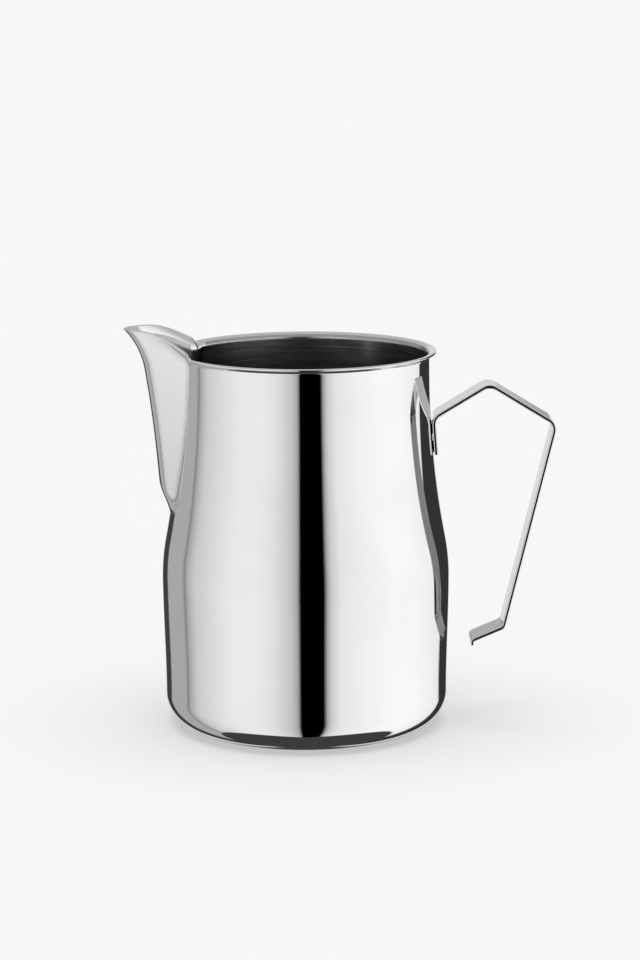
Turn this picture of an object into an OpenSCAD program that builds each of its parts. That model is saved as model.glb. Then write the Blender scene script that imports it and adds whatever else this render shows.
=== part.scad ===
// Milk frothing pitcher: a deep-drawn steel cup with a welded pouring spout
// and an open strap handle.
//
// Frame: +Z up, origin at the centre of the base on the axis of the cup.
// The spout points along -X and the handle along +X.  Millimetres.

/* [Cup] */
// Height of the rim above the table
body_h = 112.8; // [90:0.2:150]
// Outer diameter at the widest ring of the belly
belly_d = 86.2; // [78:0.2:106]
// Height of the widest ring
belly_z = 44.5; // [36:0.5:50]
// Outer diameter of the neck, just under the rim
neck_d = 74.2; // [61:0.2:80]
// Outer diameter of the wall where the bottom corner begins
foot_d = 84.8; // [78:0.2:90]
// Outer radius of the bottom corner
corner_r = 9.6; // [8:0.2:14]
// Thickness of the sheet the cup is drawn from
wall = 0.8; // [0.6:0.1:1.2]

/* [Shoulder] */
// Length of the outward bend above the belly
belly_bend = 12.5; // [10:0.5:16]
// Length of the tighter, lower part of the hollow shoulder
shoulder_low = 21; // [16:0.5:25]
// Slope half way up the hollow shoulder, as a part of its steepest slope
shoulder_ease = 0.54; // [0.4:0.02:0.7]
// Height of the straight neck, from the end of the shoulder to the rim
neck_h = 4.4; // [3:0.2:8]

/* [Rim and base] */
// How far the lip flares out from the neck
lip_flare = 1.9; // [1.2:0.1:2.6]
// Radius of the stiffening bead pressed up into the base
base_bead_r = 26; // [20:0.5:27]
// Width of the bead
base_bead_w = 5; // [4:0.5:7]
// Height of the bead
base_bead_h = 0.6; // [0.3:0.1:1]

/* [Spout] */
// Depth of the spout's lowest point below the rim
spout_drop = 48.2; // [34:0.2:50]
// Height of the spout's tip above the rim
spout_rise = 6.6; // [4:0.2:9]
// Half width of the spout at the rim
spout_half_top = 16.3; // [13:0.1:18]
// Half width of the spout above its closed end
spout_half_low = 14; // [11:0.1:15]
// Height over which the lower end closes to a rounded point
spout_close = 9.5; // [7:0.5:12]
// How far the keel stands out from the neck at the rim
keel_out_top = 11.2; // [8:0.1:14]
// How far the keel stands out from the cup above its closed end
keel_out_low = 4.1; // [3:0.1:7]
// Outer radius of the keel
keel_r = 8.4; // [6:0.2:10]
// How far the tip curls out beyond the line of the keel
tip_curl = 4.4; // [2:0.1:6]
// Height over which the tip curls
tip_curl_h = 12.5; // [9:0.5:15]
// How much wider the spout's lip is than its wall, each side
spout_lip = 2.5; // [1.5:0.1:3]
// Height of the flared edge along the spout's lip
spout_lip_h = 4; // [3:0.5:6]
// Thickness of the sheet the spout is pressed from
spout_wall = 0.8; // [0.6:0.1:1]
// Leg of the weld fillet along the spout
weld_leg = 0.5; // [0.3:0.1:0.8]

/* [Handle] */
// Width of the strap
strap_w = 11; // [9:0.5:14]
// Thickness of the strap
strap_t = 1.1; // [0.9:0.1:1.5]
// Depth of the flange's upper bend below the rim
flange_top = 20; // [16:0.5:24]
// Length of the flange welded to the cup
flange_len = 11; // [9:0.5:14]
// Depth of the apex bend below the rim
apex_drop = 10; // [8:0.2:14]
// How far the apex bend stands out from the neck
apex_out = 17.5; // [14:0.5:20]
// Depth of the outer corner below the rim
corner_drop = 22; // [18:0.2:28]
// How far the outer corner stands out from the belly
corner_out = 31.2; // [24:0.2:40]
// Height of the lower bend above the table
hook_z = 29.2; // [20:0.2:34]
// How far the lower bend stands out from the belly
hook_out = 16.1; // [14:0.1:22]
// Length of the thumb hook, from the lower bend to its turned end
hook_len = 10.6; // [8:0.2:14]
// Slope of the thumb hook below the level, in degrees
hook_tilt = 23; // [10:1:35]
// Centreline radius of the three upper bends
bend_r = 3.6; // [2.5:0.1:5]
// Centreline radius of the lower bend
hook_bend_r = 1.6; // [1.2:0.1:2.5]
// Centreline radius of the turned end of the hook
curl_r = 1.2; // [1:0.1:1.6]
// Straight length left at the turned end
curl_tail = 0.3; // [0.1:0.1:2]

/* [Spot welds] */
// Diameter of one spot weld
spot_d = 3.2; // [2.4:0.1:4]
// Distance between the two spot welds
spot_pitch = 5.2; // [4.6:0.1:6]
// How far a spot weld stands proud inside the cup
spot_proud = 0.12; // [0.05:0.01:0.2]
// Depth of the electrode mark on the outside of the strap
spot_mark = 0.12; // [0.05:0.01:0.2]

/* [Hidden] */

belly_r = belly_d / 2;
neck_r = neck_d / 2;
foot_r = foot_d / 2;
neck_z = body_h - neck_h;             // end of the shoulder
bend_z = belly_z + belly_bend;        // steepest ring of the shoulder
ease_z = bend_z + shoulder_low;       // ring where the shoulder's curve opens out
lip_z = body_h - lip_flare - wall;    // start of the flare
spout_z = body_h - spout_drop;        // lowest point of the spout
keel_z = spout_z + spout_close;       // top of the spout's closed end
curl_z = body_h + spout_rise - tip_curl_h;
corner_steps = 10;                    // chords round the bottom corner
wall_steps = 6;                       // chords up the lower wall
arc_steps = 6;                        // chords up each part of the shoulder
lip_steps = 6;                        // chords round the flare
bead_slope = 1.2;                     // width of the ramps of the base bead
cut_over = 3;                         // how far a cutter runs past the metal
weld_start = 2;                       // ring of the spout where the weld begins
low_rows = 9;                         // rings round the spout's closed end
mid_rows = 8;                         // rings up the keel
lip_rows = 9;                         // rings from the keel up to the lip
side_cols = 8;                        // columns on each flat side of the spout
keel_cols = 10;                       // columns round the keel
blend_z = lip_z - 6;                  // above this the rings follow the lip line
close_round = 1.7;                    // roundness of the closed end, seen from the front
close_rise = 2.5;                     // how soon the keel comes out above its lowest point
tip_bend = 2.4;                       // how late the tip bends outwards
keel_fit = 0.94;                      // largest keel radius, as a part of one that fills the cut
lip_reach = 0.62;                     // part of the way to the tip where the lip is at full height
lip_hollow = 1.2;                     // how late the lip rises from the rim
low_spread = 1.6;                     // crowding of the rings towards the lowest point
lip_spread = 1.4;                     // crowding of the rings towards the lip
cup_sides = 128;                      // chords round the cup
bar_sides = 48;                       // chords round a spot weld
inner_lag = 1.5;                      // rise of the inner closed end, in wall thicknesses
inner_narrow = 1.25;                  // narrowing of the inside, in wall thicknesses
min_close = 0.02;                     // smallest opened part of the closed end

function mix(a, b, t) = a + (b - a) * t;
function clamp(t) = max(0, min(1, t));
function smooth(t) = let (c = clamp(t)) c * c * (3 - 2 * c);

// ---- outline of the cup ----

// The shoulder's slope rises evenly along the bend above the belly, falls to
// its eased value along the tight hollow, and to nothing at the neck.
slope_max = (belly_r - neck_r) / (belly_bend / 2
    + shoulder_low * (1 + shoulder_ease) / 2 + (neck_z - ease_z) * shoulder_ease / 2);
bend_r_out = belly_r - slope_max * belly_bend / 2;
ease_r_out = bend_r_out - slope_max * shoulder_low * (1 + shoulder_ease) / 2;

// Drop in radius over dz along a stretch of length l whose slope goes s0 to s1
function fall(dz, l, s0, s1) = s0 * dz + (s1 - s0) * dz * dz / (2 * l);

// Outer radius of the cup at height z, without the flare of the lip
function wall_r(z) =
    z <= belly_z ? mix(foot_r, belly_r, smooth((z - corner_r) / (belly_z - corner_r))) :
    z <= bend_z ? belly_r - fall(z - belly_z, belly_bend, 0, slope_max) :
    z <= ease_z ? bend_r_out - fall(z - bend_z, shoulder_low, slope_max,
                                    slope_max * shoulder_ease) :
    z <= neck_z ? ease_r_out - fall(z - ease_z, neck_z - ease_z,
                                    slope_max * shoulder_ease, 0) : neck_r;

// Extra radius of the flared lip at height z: a quarter round
function flare_r(z) =
    let (t = clamp((z - lip_z) / lip_flare)) lip_flare * (1 - sqrt(1 - t * t));

// Outer radius of the cup at height z, lip included
function cup_r(z) = wall_r(z) + flare_r(z);

function steps(a, b, n) = [for (i = [0:n]) mix(a, b, i / n)];

wall_levels = concat(
    steps(corner_r, belly_z, wall_steps),
    [for (i = [1:arc_steps]) mix(belly_z, bend_z, i / arc_steps)],
    [for (i = [1:arc_steps]) mix(bend_z, ease_z, i / arc_steps)],
    [for (i = [1:arc_steps]) mix(ease_z, neck_z, i / arc_steps)]);

// The wall between the bottom corner and the flare, set in by d
function wall_points(d) = [for (z = wall_levels) [wall_r(z) - d, z]];

// The bottom corner, from the flat base outwards, set in by d
function corner_points(d) = [for (i = [0:corner_steps - 1])
    let (a = 90 * i / corner_steps)
    [foot_r - corner_r + (corner_r - d) * sin(a), corner_r - (corner_r - d) * cos(a)]];

// The flare: a quarter round whose outer radius is lip_flare, set in by d
function lip_points(d) = [for (i = [0:lip_steps])
    let (a = 90 * i / lip_steps)
    [neck_r + lip_flare - (lip_flare + d) * cos(a), lip_z + (lip_flare + d) * sin(a)]];

// The flat base with its bead, from the axis outwards, raised by d
function base_points(d) =
    let (r0 = base_bead_r - base_bead_w / 2, r1 = base_bead_r + base_bead_w / 2)
    [[0, d], [r0, d], [r0 + bead_slope, base_bead_h + d], [r1 - bead_slope, base_bead_h + d],
     [r1, d]];

function reversed(v) = [for (i = [len(v) - 1:-1:0]) v[i]];

module cup_solid() {
    outside = concat(base_points(0), corner_points(0), wall_points(0), lip_points(0));
    inside = concat(base_points(wall), corner_points(wall), wall_points(wall),
                    lip_points(wall));
    rotate_extrude($fn = cup_sides)
        polygon(concat(outside, reversed(inside)));
}

// ---- outline of the spout ----

// Closed end of the spout, 0 at its lowest point and 1 above it.
// d is the depth into the sheet, so that the inside closes a little higher.
function close_t(z, d) = clamp((z - spout_z - inner_lag * d) / spout_close);
function close_w(z, d) = pow(1 - pow(1 - close_t(z, d), close_round), 1 / close_round);
function close_k(z, d) = 1 - pow(1 - close_t(z, d), close_rise);

// Outward swing of the spout's lip at a depth e below its edge
function lip_swing(e) = spout_lip * pow(clamp(1 - e / spout_lip_h), 2);

// Half width of the spout at height z, a depth e below the lip
function half_w(z, e, d) =
    (mix(spout_half_low, spout_half_top, (z - keel_z) / (body_h - keel_z))
        + lip_swing(e) - inner_narrow * d) * close_w(z, d);

// Distance of the keel from the axis at height z
function keel_line(z) =
    mix(wall_r(keel_z) + keel_out_low, neck_r + keel_out_top, (z - keel_z) / (body_h - keel_z))
    + tip_curl * pow(clamp((z - curl_z) / tip_curl_h), tip_bend);
function keel_x(z, d) = mix(cup_r(z), keel_line(z) - d, close_k(z, d));

// Level cut through the spout: a flat side from [x0, w], tangent to the round
// keel at its end [k, 0].  u is 0 at the cup and 1 on the keel.
function spout_cut(u, w, x0, k, r) =
    let (
        h = k - x0,
        rr = min(r, keel_fit * (w * w + h * h) / (2 * h)),
        cx = k - rr,
        d = norm([x0 - cx, w]),
        a = atan2(w, x0 - cx) - acos(rr / d),
        split = side_cols / (side_cols + keel_cols / 2),
        tx = cx + rr * cos(a),
        ty = rr * sin(a)
    )
    u < split ? [mix(x0, tx, u / split), mix(w, ty, u / split)] :
    let (b = a * (1 - u) / (1 - split)) [cx + rr * cos(b), rr * sin(b)];

// Height of the lip line above the rim, for u from the cup (0) to the tip (1)
function lip_line(u) = spout_rise * pow(sin(90 * min(1, u / lip_reach)), lip_hollow);

// A point of the spout: v is the ring, u the place along half of a level cut
rings = low_rows + mid_rows + lip_rows;
function ring_z(v, u, d) =
    let (low = spout_z + inner_lag * d + min_close * spout_close)
    v <= low_rows ? mix(low, keel_z, pow(v / low_rows, low_spread)) :
    v <= low_rows + mid_rows ? mix(keel_z, blend_z, (v - low_rows) / mid_rows) :
    mix(blend_z, body_h + lip_line(u), 1 - pow(1 - (v - low_rows - mid_rows) / lip_rows, lip_spread));
function spout_point(v, u, d, side) =
    let (
        z = ring_z(v, u, d),
        e = body_h + lip_line(u) - z,
        w = half_w(z, e, d),
        r = cup_r(min(z, body_h)),
        x0 = sqrt(r * r - w * w),
        p = spout_cut(u, w, x0, keel_x(z, d), keel_r - d)
    )
    [-p[0], side * p[1], z];

half_cols = side_cols + keel_cols / 2;
cols = 2 * half_cols;

// One skin of the spout, ring by ring, from the near side round to the far side
function spout_skin(d) = [for (v = [0:rings]) for (j = [0:cols])
    j <= half_cols ? spout_point(v, j / half_cols, d, -1)
                   : spout_point(v, (cols - j) / half_cols, d, 1)];

// Two triangles on the corners a, b, c, d
function quad(a, b, c, d) = [[a, b, c], [a, c, d]];

module spout_solid() {
    n = cols + 1;
    m = (rings + 1) * n;
    skins = concat(spout_skin(0), spout_skin(spout_wall));
    faces = concat(
        [for (v = [0:rings - 1]) for (j = [0:cols - 1]) let (a = v * n + j)
            each quad(a, a + 1, a + n + 1, a + n)],
        [for (v = [0:rings - 1]) for (j = [0:cols - 1]) let (a = m + v * n + j)
            each quad(a + n, a + n + 1, a + 1, a)],
        [for (v = [0:rings - 1]) let (a = v * n)
            each quad(a, a + n, m + a + n, m + a)],
        [for (v = [0:rings - 1]) let (a = v * n + cols)
            each quad(a + n, a, m + a, m + a + n)],
        [for (j = [0:cols - 1]) each quad(j + 1, j, m + j, m + j + 1)],
        [for (j = [0:cols - 1]) let (a = rings * n + j)
            each quad(a, a + 1, m + a + 1, m + a)]);
    polyhedron(points = skins, faces = faces);
}

// The window in the cup behind the spout, as wide as the spout's inside
window_levels = [for (v = [0:rings]) ring_z(v, 0, spout_wall)];

module spout_window() {
    side = [for (z = window_levels) [half_w(z, body_h - z, spout_wall), z]];
    over = [[side[len(side) - 1][0], body_h + cut_over]];
    right = concat(side, over);
    left = [for (p = reversed(right)) [-p[0], p[1]]];
    rotate([90, 0, -90])
        linear_extrude(height = belly_d)
            polygon(concat(right, left));
}

// ---- weld along the spout ----

// Corner points of the weld fillet at ring v: in the crease, on the cup, on the spout
function weld_section(v, side) =
    let (
        p = spout_point(v, 0, 0, side),
        q = spout_point(v, 1 / half_cols, 0, side),
        along = (q - p) / norm(q - p),
        r = norm([p[0], p[1]]),
        turn = asin(clamp(abs(p[1]) / r)) + weld_leg / r * 180 / PI
    )
    [p, [-r * cos(turn), side * r * sin(turn), p[2]], p + along * weld_leg];

module weld_bead(side) {
    sections = [for (v = [weld_start:rings]) each weld_section(v, side)];
    n = rings - weld_start;
    tube = [for (i = [0:n - 1]) for (j = [0:2])
        let (a = 3 * i + j, b = 3 * i + (j + 1) % 3)
        each quad(a, b, b + 3, a + 3)];
    ends = [[2, 1, 0], [3 * n, 3 * n + 1, 3 * n + 2]];
    faces = concat(tube, ends);
    polyhedron(points = sections,
               faces = side > 0 ? faces : [for (f = faces) reversed(f)]);
}

// ---- strap handle ----

flange_hi = [wall_r(body_h - flange_top), body_h - flange_top];
flange_lo = [wall_r(body_h - flange_top - flange_len), body_h - flange_top - flange_len];
flange_dir = (flange_hi - flange_lo) / norm(flange_hi - flange_lo);
flange_out = [flange_dir[1], -flange_dir[0]];
flange_tilt = atan2(flange_out[1], flange_out[0]);
hook_at = [belly_r + hook_out, hook_z];
hook_end = hook_at - hook_len * [cos(hook_tilt), sin(hook_tilt)];
curl_end = hook_end + (curl_r + curl_tail) * [sin(hook_tilt), -cos(hook_tilt)];

// Corners of the strap's centreline, from the flange down to the turned end
strap_corners = [
    flange_lo + flange_out * strap_t / 2,
    flange_hi + flange_out * strap_t / 2,
    [neck_r + apex_out, body_h - apex_drop],
    [belly_r + corner_out, body_h - corner_drop],
    hook_at,
    hook_end,
    curl_end];
strap_radii = [0, bend_r, bend_r, bend_r, hook_bend_r, curl_r, 0];
bend_steps = 8;

function unit(v) = v / norm(v);
function left_of(v) = [-v[1], v[0]];

// Points along one edge of the strap at corner i, off centre by s to the left
function strap_edge(i, s) =
    let (
        n = len(strap_corners) - 1,
        c = strap_corners[i],
        u = i > 0 ? unit(c - strap_corners[i - 1]) : unit(strap_corners[1] - c),
        w = i < n ? unit(strap_corners[i + 1] - c) : u,
        turn = asin(u[0] * w[1] - u[1] * w[0]),
        r = strap_radii[i]
    )
    r == 0 ? [c + left_of(u) * s] :
    let (
        way = sign(turn),
        start = c - u * r * tan(abs(turn) / 2),
        centre = start + left_of(u) * r * way,
        a0 = atan2(-way * u[0], way * u[1])
    )
    [for (k = [0:bend_steps]) let (a = a0 + turn * k / bend_steps)
        centre + (r - way * s) * [cos(a), sin(a)]];

module strap_outline() {
    count = len(strap_corners) - 1;
    one_side = [for (i = [0:count]) each strap_edge(i, strap_t / 2)];
    other_side = [for (i = [0:count]) each strap_edge(i, -strap_t / 2)];
    polygon(concat(one_side, reversed(other_side)));
}

// ---- spot welds ----

spot_mid = (flange_lo + flange_hi) / 2 - flange_dir;
spot_places = [for (s = [-1, 1]) spot_mid + flange_dir * s * spot_pitch / 2];

// A round bar square to the flange through place p, from depth a to height b
module spot_bar(p, a, b) {
    translate([p[0], 0, p[1]])
        rotate([0, 90 - flange_tilt, 0])
            translate([0, 0, -a])
                cylinder(h = a + b, d = spot_d, $fn = bar_sides);
}

// ---- parts ----

// Deep-drawn cup with its flared rim, and the window behind the spout
module body_shell() {
    color("gainsboro")
        difference() {
            cup_solid();
            spout_window();
            for (p = spot_places)
                spot_bar(p, cut_over, cut_over);
        }
}

// Pressed pouring spout, with its curled lip
module spout() {
    color("silver")
        spout_solid();
}

// Weld fillets down the two sides of the spout
module spout_weld() {
    color("darkgray")
        for (side = [-1, 1])
            weld_bead(side);
}

// Strap handle, bent from one flat strip
module handle() {
    color("lightgray")
        difference() {
            translate([0, strap_w / 2, 0])
                rotate([90, 0, 0])
                    linear_extrude(height = strap_w)
                        strap_outline();
            for (p = spot_places)
                spot_bar(p, cut_over, cut_over);
        }
}

// Two spot welds that hold the flange to the cup
module handle_spot_welds() {
    color("gray")
        for (p = spot_places)
            spot_bar(p, wall + spot_proud, strap_t - spot_mark);
}

body_shell();
spout();
spout_weld();
handle();
handle_spot_welds();
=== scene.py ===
"""Milk frothing pitcher in polished stainless steel, standing on a pale studio floor.

The drawn cup, the pressed pouring spout, the ground weld between the two, the strap
handle and its spot welds are each built as a mesh of their own.  Sizes are in
millimetres in the classes and are turned into metres when a mesh is made.  +Z is up,
the spout points along -X and the handle along +X.
"""

import logging
import math
from dataclasses import dataclass, field
from enum import Enum
from functools import reduce

import bpy
import numpy as np
from mathutils import Matrix, Vector

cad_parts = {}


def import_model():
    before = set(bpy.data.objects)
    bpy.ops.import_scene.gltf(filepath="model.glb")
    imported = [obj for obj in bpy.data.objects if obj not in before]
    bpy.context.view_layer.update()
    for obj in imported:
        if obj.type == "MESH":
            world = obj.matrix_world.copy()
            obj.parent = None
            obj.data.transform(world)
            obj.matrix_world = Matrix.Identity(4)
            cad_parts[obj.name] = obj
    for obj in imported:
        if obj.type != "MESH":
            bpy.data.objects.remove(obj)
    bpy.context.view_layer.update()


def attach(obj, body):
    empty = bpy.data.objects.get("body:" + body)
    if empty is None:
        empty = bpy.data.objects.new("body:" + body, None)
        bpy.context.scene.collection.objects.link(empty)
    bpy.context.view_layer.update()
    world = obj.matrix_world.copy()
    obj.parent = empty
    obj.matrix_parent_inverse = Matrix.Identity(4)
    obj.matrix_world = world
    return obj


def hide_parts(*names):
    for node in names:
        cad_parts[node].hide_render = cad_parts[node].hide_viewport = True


MM = 0.001
UP = np.array([0.0, 0.0, 1.0])
ALONG_Y = np.array([0.0, 1.0, 0.0])
SIDES = (np.array([1.0, 1.0, 1.0]), np.array([1.0, -1.0, 1.0]))
Array = np.ndarray
Socket = bpy.types.NodeSocket
Band = tuple[float, float]
log = logging.getLogger("pitcher")


def mix(a: Array, b: Array, t: Array) -> Array:
    """Blend from a (t = 0) to b (t = 1)."""
    return a + (b - a) * t


def smooth(t: Array) -> Array:
    """Ease from 0 to 1 with level ends, held outside that range."""
    c = np.clip(t, 0.0, 1.0)
    return c * c * (3.0 - 2.0 * c)


def unit(v: Array) -> Array:
    """Scale vectors along the last axis to length one."""
    return v / np.maximum(np.linalg.norm(v, axis=-1, keepdims=True), 1e-12)


def mirrored(v: Array) -> Array:
    """Mirror points or directions in the pitcher's middle plane, y = 0."""
    return v * SIDES[1]


def line_slopes(p: Array) -> Array:
    """Directions along the first axis of a net of points with uneven spacing.

    Args:
        p: points, shape (rows, ..., 3); the first and last rows get a one-sided slope.

    Returns:
        Unit directions with the shape of p.
    """
    d = np.diff(p, axis=0)
    gap = np.maximum(np.linalg.norm(d, axis=-1, keepdims=True), 1e-9)
    inner = d[:-1] / gap[:-1] * gap[1:] + d[1:] / gap[1:] * gap[:-1]
    return unit(np.concatenate([d[:1], inner, d[-1:]]))


def put(name: str, data: bpy.types.ID) -> bpy.types.Object:
    """Make an object from its data and link it to the scene."""
    made = bpy.data.objects.new(name, data)
    bpy.context.scene.collection.objects.link(made)
    return made


class Region(Enum):
    """The piece that a stretch of the pitcher's skin belongs to."""

    SPOUT = "pouring_spout"
    WELD = "spout_weld_seam"
    CUP = "cup_shell"


@dataclass(frozen=True)
class CupForm:
    """Outline of the deep-drawn cup."""

    rim_height: float = 112.8
    belly_radius: float = 43.1
    belly_height: float = 44.5
    neck_radius: float = 37.1
    foot_radius: float = 42.4
    corner_radius: float = 9.6
    sheet: float = 0.8
    belly_bend: float = 12.5
    shoulder_low: float = 21.0
    shoulder_ease: float = 0.54
    neck_length: float = 4.4
    flare_drop: float = 1.1
    flare_reach: float = 1.55
    bead_radius: float = 26.0
    bead_width: float = 5.0
    bead_height: float = 0.6
    bead_slope: float = 1.2

    @property
    def flare_start(self) -> float:
        """Height where the rim begins to flare."""
        return self.rim_height - self.flare_drop - self.sheet

    def wall_radius(self, z: Array) -> Array:
        """Outer radius of the wall at height z, without the flare of the rim.

        Args:
            z: heights above the table.

        Returns:
            Radii with the shape of z.
        """
        z = np.asarray(z, float)
        ease = self.shoulder_ease
        neck_z = self.rim_height - self.neck_length
        bend_z = self.belly_height + self.belly_bend
        ease_z = bend_z + self.shoulder_low
        steep = (self.belly_radius - self.neck_radius) / (
            self.belly_bend / 2 + self.shoulder_low * (1 + ease) / 2 + (neck_z - ease_z) * ease / 2)
        at_bend = self.belly_radius - steep * self.belly_bend / 2
        at_ease = at_bend - steep * self.shoulder_low * (1 + ease) / 2

        def fall(dz: Array, length: float, s0: float, s1: float) -> Array:
            """Loss of radius over dz where the slope goes from s0 to s1."""
            return s0 * dz + (s1 - s0) * dz * dz / (2 * length)

        low = mix(self.foot_radius, self.belly_radius,
                  smooth((z - self.corner_radius) / (self.belly_height - self.corner_radius)))
        bend = self.belly_radius - fall(z - self.belly_height, self.belly_bend, 0.0, steep)
        tight = at_bend - fall(z - bend_z, self.shoulder_low, steep, steep * ease)
        open_part = at_ease - fall(z - ease_z, neck_z - ease_z, steep * ease, 0.0)
        return np.where(z <= self.belly_height, low, np.where(z <= bend_z, bend, np.where(
            z <= ease_z, tight, np.where(z <= neck_z, open_part, self.neck_radius))))

    def foot_profile(self) -> tuple[Array, Array]:
        """Outer profile from the middle of the base out to the end of the bottom corner.

        Returns:
            Radii and heights.
        """
        flat_end = self.foot_radius - self.corner_radius
        bead_in, bead_out = (self.bead_radius + side * self.bead_width / 2 for side in (-1, 1))
        r = np.unique(np.concatenate([np.linspace(0.0, flat_end, 40), np.linspace(bead_in, bead_out, 31)]))
        z = self.bead_height * smooth(np.minimum(r - bead_in, bead_out - r) / self.bead_slope)
        turn = np.radians(np.linspace(0.0, 90.0, 37))[1:]
        corner_r = flat_end + self.corner_radius * np.sin(turn)
        corner_z = self.corner_radius * (1.0 - np.cos(turn))
        return np.concatenate([r, corner_r]), np.concatenate([z, corner_z])


@dataclass(frozen=True)
class SpoutForm:
    """Shape of the pouring spout as a bulge of the cup's skin towards -X."""

    cup: CupForm = CupForm()
    drop: float = 47.9
    rise: float = 6.6
    half_top: float = 16.3
    half_low: float = 14.0
    close_height: float = 9.5
    close_round: float = 3.5
    close_blunt: float = 0.25
    close_rise: float = 2.2
    keel_out_top: float = 11.2
    keel_out_low: float = 4.5
    keel_sag: float = 0.5
    side_slope_top: float = 55.0
    side_slope_low: float = 44.0
    side_slope_end: float = 41.0
    keel_radius: float = 8.4
    nose_slope: float = 15.0
    tip_curl: float = 4.4
    tip_curl_height: float = 12.5
    tip_bend: float = 2.4
    lip_swing: float = 1.1
    lip_height: float = 4.0
    lip_lead: float = 2.3
    lip_hollow: float = 1.5
    crease_low: float = 1.6
    crease_top: float = 0.8
    crease_shut: float = 0.2
    crease_gap: float = 0.5
    steep_limit: float = 1.9
    nose_limit: float = 0.45
    nose_least: float = 0.3
    keel_limit: float = 0.9
    lip_fade: Band = (-3.5, 1.5)

    @property
    def bottom(self) -> float:
        """Height of the spout's lowest point."""
        return self.cup.rim_height - self.drop

    @property
    def closed_top(self) -> float:
        """Height where the closed lower end has reached its full width."""
        return self.bottom + self.close_height

    def opened(self, z: Array) -> Array:
        """How far the closed end has opened at height z, from 0 to 1."""
        return np.clip((z - self.bottom) / self.close_height, 0.0, 1.0)

    def up(self, z: Array) -> Array:
        """Way from the closed end to the rim at height z, as a share that may pass 0 and 1."""
        return (z - self.closed_top) / (self.cup.rim_height - self.closed_top)

    def half_width(self, z: Array) -> Array:
        """Half width of the spout between its two creases at height z."""
        shut = 1.0 - (1.0 - self.opened(z)) ** self.close_round
        return mix(self.half_low, self.half_top, self.up(z)) * shut ** self.close_blunt

    def keel(self, z: Array) -> Array:
        """Distance of the keel from the cup's axis at height z.

        Args:
            z: heights; below the spout the keel runs on inside the cup.

        Returns:
            Distances towards the spout's side.
        """
        cup_r, up = self.cup.wall_radius(z), self.up(z)
        low_end = float(self.cup.wall_radius(self.closed_top)) + self.keel_out_low
        line = mix(low_end, self.cup.neck_radius + self.keel_out_top, up)
        line = line - self.keel_sag * np.sin(math.pi * np.clip(up, 0.0, 1.0))
        curl_z = self.cup.rim_height + self.rise - self.tip_curl_height
        line = line + self.tip_curl * np.clip((z - curl_z) / self.tip_curl_height, 0, 1.2) ** self.tip_bend
        out = mix(cup_r, line, 1.0 - (1.0 - self.opened(z)) ** self.close_rise)
        slope = self.close_rise * self.keel_out_low / self.close_height
        return np.where(z < self.bottom, cup_r - slope * (self.bottom - z), out)

    def section(self, y: Array, z: Array) -> Array:
        """Distance of the outer skin from the plane x = 0, towards -X.

        The level cut is a round keel with flat sides, which runs into the cup's circle
        through a small hollow fillet.

        Args:
            y: distances from the middle plane, not negative.
            z: heights, with the shape of y.

        Returns:
            Distances with the shape of y.
        """
        zs = np.maximum(z, self.bottom + 0.02 * self.close_height)
        w, r = self.half_width(zs), self.cup.wall_radius(zs)
        depth = np.maximum(self.keel(zs) - np.sqrt(r * r - w * w), 1e-3)
        slope, turned = self.side_slope(zs), math.radians(self.nose_slope)
        slope = np.minimum(slope, self.steep_limit * np.arctan2(depth, w))
        turned = np.minimum(turned, self.nose_limit * slope)
        tight = np.minimum(self.keel_radius, self.keel_limit * w / np.sin(slope))
        nose = np.tan(slope) * (w - tight * (np.sin(slope) - np.sin(turned)))
        nose = nose + tight * (np.cos(turned) - np.cos(slope)) - depth
        nose = nose / (np.tan(slope) * np.sin(turned) - 1.0 + np.cos(turned))
        nose = np.maximum(nose, self.nose_least * tight)
        y1 = nose * np.sin(turned)
        y2 = y1 + tight * (np.sin(slope) - np.sin(turned))
        first = nose - np.sqrt(np.maximum(nose * nose - np.minimum(y, y1) ** 2, 0.0))
        along = tight * np.sin(turned) + np.clip(y, y1, y2) - y1
        second = tight * np.cos(turned) - np.sqrt(np.maximum(tight * tight - along * along, 0.0))
        spout = self.keel(z) - first - second - np.maximum(y - y2, 0.0) * np.tan(slope)
        spout = spout - np.maximum(y - w - self.crease_gap, 0.0)
        cup_r = self.cup.wall_radius(z)
        cup = np.sqrt(np.maximum(cup_r * cup_r - y * y, 1.0))
        k = mix(self.crease_low, self.crease_top, smooth((z - self.bottom) / self.drop))
        k = k * mix(self.crease_shut, 1.0, smooth((z - self.bottom) / self.close_height))
        near = np.maximum(k - np.abs(cup - spout), 0.0) / k
        return np.maximum(cup, spout) + near * near * k / 4.0

    def side_slope(self, z: Array) -> Array:
        """Slope of the flat sides in the level cut at height z, in radians."""
        up = np.clip(self.up(z), 0.0, 1.2)
        end = (self.side_slope_low - self.side_slope_end) * (1.0 - self.opened(z)) ** 1.5
        return np.radians(mix(self.side_slope_low, self.side_slope_top, up) - end)

    def flat_start(self, z: float) -> float:
        """Half width of the round keel at height z, where its flat sides begin."""
        return self.keel_radius * math.sin(float(self.side_slope(z)))


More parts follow.
